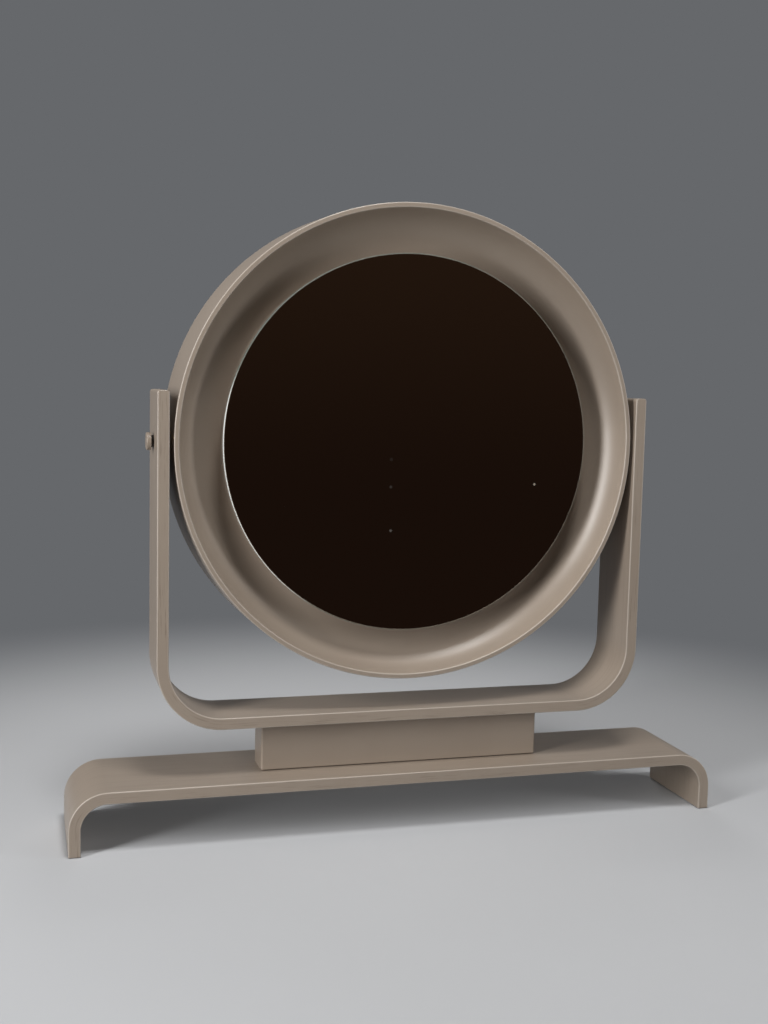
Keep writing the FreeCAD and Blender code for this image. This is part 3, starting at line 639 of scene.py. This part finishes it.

# %% [markdown]
# A studio hangs dark cloth where a mirror would otherwise show the room. This one lies on the
# floor in front and then rises behind the lamps, so that it hides none of them from the lacquer's
# gloss. Nothing but reflections sees it. It takes no light from the lamps: its tone is painted in
# as a faint glow, which gives the glass its deep brown look, with painted light making it a little
# lighter towards the top, where more of the room's light would fall on it. The glass could simply
# be painted brown, but then it would stay brown where a real one shows the floor or a lamp. A hard
# hem would draw a line across the glass, so the cloth's near end is transparent at first and
# thickens over a few steps.

# %% Dark cloth in front
CLOTH_LOW = linear(27, 17, 12)
CLOTH_GLOW_LIT_TOP = linear(38, 26, 18)
CLOTH_LIGHTEST = 1.1                            # metres up
CLOTH_NEAR, CLOTH_FULL = 0.6, 1.02              # metres from the object's middle
CLOTH_RADIUS, CLOTH_TOP, CLOTH_LIFT = 3.2, 3.4, 0.001
CLOTH_HALF_ANGLE = math.radians(80)
CLOTH_STEPS = 40


def cloth_finish():
    material = bpy.data.materials.new("dark_cloth")
    tree = emptied_tree(material)
    place = add_node(tree, "ShaderNodeTexCoord", output="Object")
    # The cloth's glow is painted light, lighter towards the top.
    painted_lit = place.part("Z").rise(0, CLOTH_LIGHTEST)
    glow = add_node(tree, "ShaderNodeEmission",
                    values={"Color": mix_colours(tree, CLOTH_LOW, CLOTH_GLOW_LIT_TOP, painted_lit)})
    clear = add_node(tree, "ShaderNodeBsdfTransparent")
    thickness = place.length().rise(CLOTH_NEAR, CLOTH_FULL)
    whole = add_node(tree, "ShaderNodeMixShader", values={0: thickness, 1: clear, 2: glow})
    add_node(tree, "ShaderNodeOutputMaterial", values={"Surface": whole})
    return material


def cloth_shape():
    """A profile that lies on the floor and then rises, swept about the object's middle."""
    profile = ((CLOTH_NEAR, CLOTH_LIFT), (CLOTH_RADIUS, CLOTH_LIFT), (CLOTH_RADIUS, CLOTH_TOP))
    shape = bmesh.new()
    rows = []
    for step in range(CLOTH_STEPS + 1):
        angle = CLOTH_HALF_ANGLE * (2 * step / CLOTH_STEPS - 1)
        rows.append([shape.verts.new((radius * math.sin(angle), -radius * math.cos(angle), z))
                     for radius, z in profile])
    for left, right in zip(rows, rows[1:]):
        for low, high in ((0, 1), (1, 2)):
            shape.faces.new((left[low], right[low], right[high], left[high]))
    return shape


cloth = lay_out("dark_cloth", cloth_shape(), cloth_finish())
cloth.visible_camera = False
cloth.visible_diffuse = False
cloth.visible_shadow = False
cloth.visible_transmission = False
print("dark cloth hung, %.1f m high" % CLOTH_TOP)

# %% [markdown]
# Soft lamps
# ----------
# A large lamp in front would fill the rim's hollow with even light and flatten it. So the main
# lamp here is a tall, narrow strip far out to the left: it rakes across the rim, leaves the left
# side of the hollow in shade, and draws one long highlight down the right side. A weaker strip on
# the right opens that shade, and a small softbox overhead lights the bench and the top of the rim.
# The lamp behind is there for the views from the back. It stays out of the gloss, because from
# the front it would show in the lacquer as a glare along the bench.

# %% Lamps
LAMPS = [
    # name, place, aimed at, width, height, watts, seen in gloss
    ("left_strip", (-1.92, -1.07, 0.96), (0, 0, 0.35), 0.38, 1.9, 47.0, True),
    ("right_strip", (2.14, -1.19, 0.72), (0, 0, 0.35), 0.45, 1.2, 16.0, True),
    ("overhead_softbox", (0.0, -0.72, 2.22), (0, 0, 0.35), 0.45, 0.5, 22.0, True),
    ("rear_softbox", (0.5, 2.2, 0.75), (0, 0, 0.3), 1.2, 0.8, 16.0, False),
]


def hang_lamp(name, place, target, width, height, watts, glossy):
    light = bpy.data.lights.new(name, "AREA")
    light.shape = "RECTANGLE"
    light.size = width
    light.size_y = height
    light.energy = watts
    lamp = bpy.data.objects.new(name, light)
    lamp.location = place
    lamp.rotation_euler = (Vector(target) - Vector(place)).to_track_quat("-Z", "Y").to_euler()
    lamp.visible_camera = False
    lamp.visible_glossy = glossy
    bpy.context.scene.collection.objects.link(lamp)


for lamp_row in LAMPS:
    hang_lamp(*lamp_row)
print(len(LAMPS), "lamps hung")

# %% [markdown]
# The camera stands half a step to the left of the mirror and a little above its middle, and looks
# slightly down. It could be aimed by a constraint at the pivot, but three angles written down
# also hold its slight lean. The view transform is Standard, so that a colour shows as it is
# written.

# %% Camera
CAMERA_PLACE = (-0.39336, -1.30054, 0.47501)
CAMERA_YAW, CAMERA_PITCH, CAMERA_ROLL = (math.radians(a) for a in (16.009, -6.014, 1.261))
LENS, SENSOR_WIDTH = 44.96, 36                  # millimetres


def place_camera():
    turn = (Matrix.Rotation(-CAMERA_YAW, 4, "Z")
            @ Matrix.Rotation(math.pi / 2 + CAMERA_PITCH, 4, "X")
            @ Matrix.Rotation(CAMERA_ROLL, 4, "Z"))
    camera = bpy.data.objects.new("camera", bpy.data.cameras.new("camera"))
    camera.data.lens = LENS
    camera.data.sensor_width = SENSOR_WIDTH
    camera.matrix_world = Matrix.Translation(CAMERA_PLACE) @ turn
    bpy.context.scene.collection.objects.link(camera)
    bpy.context.scene.camera = camera
    return camera


camera = place_camera()
bpy.context.scene.view_settings.view_transform = "Standard"
print("camera looks", tuple(round(v, 3) for v in camera.matrix_world.col[2].xyz * -1))
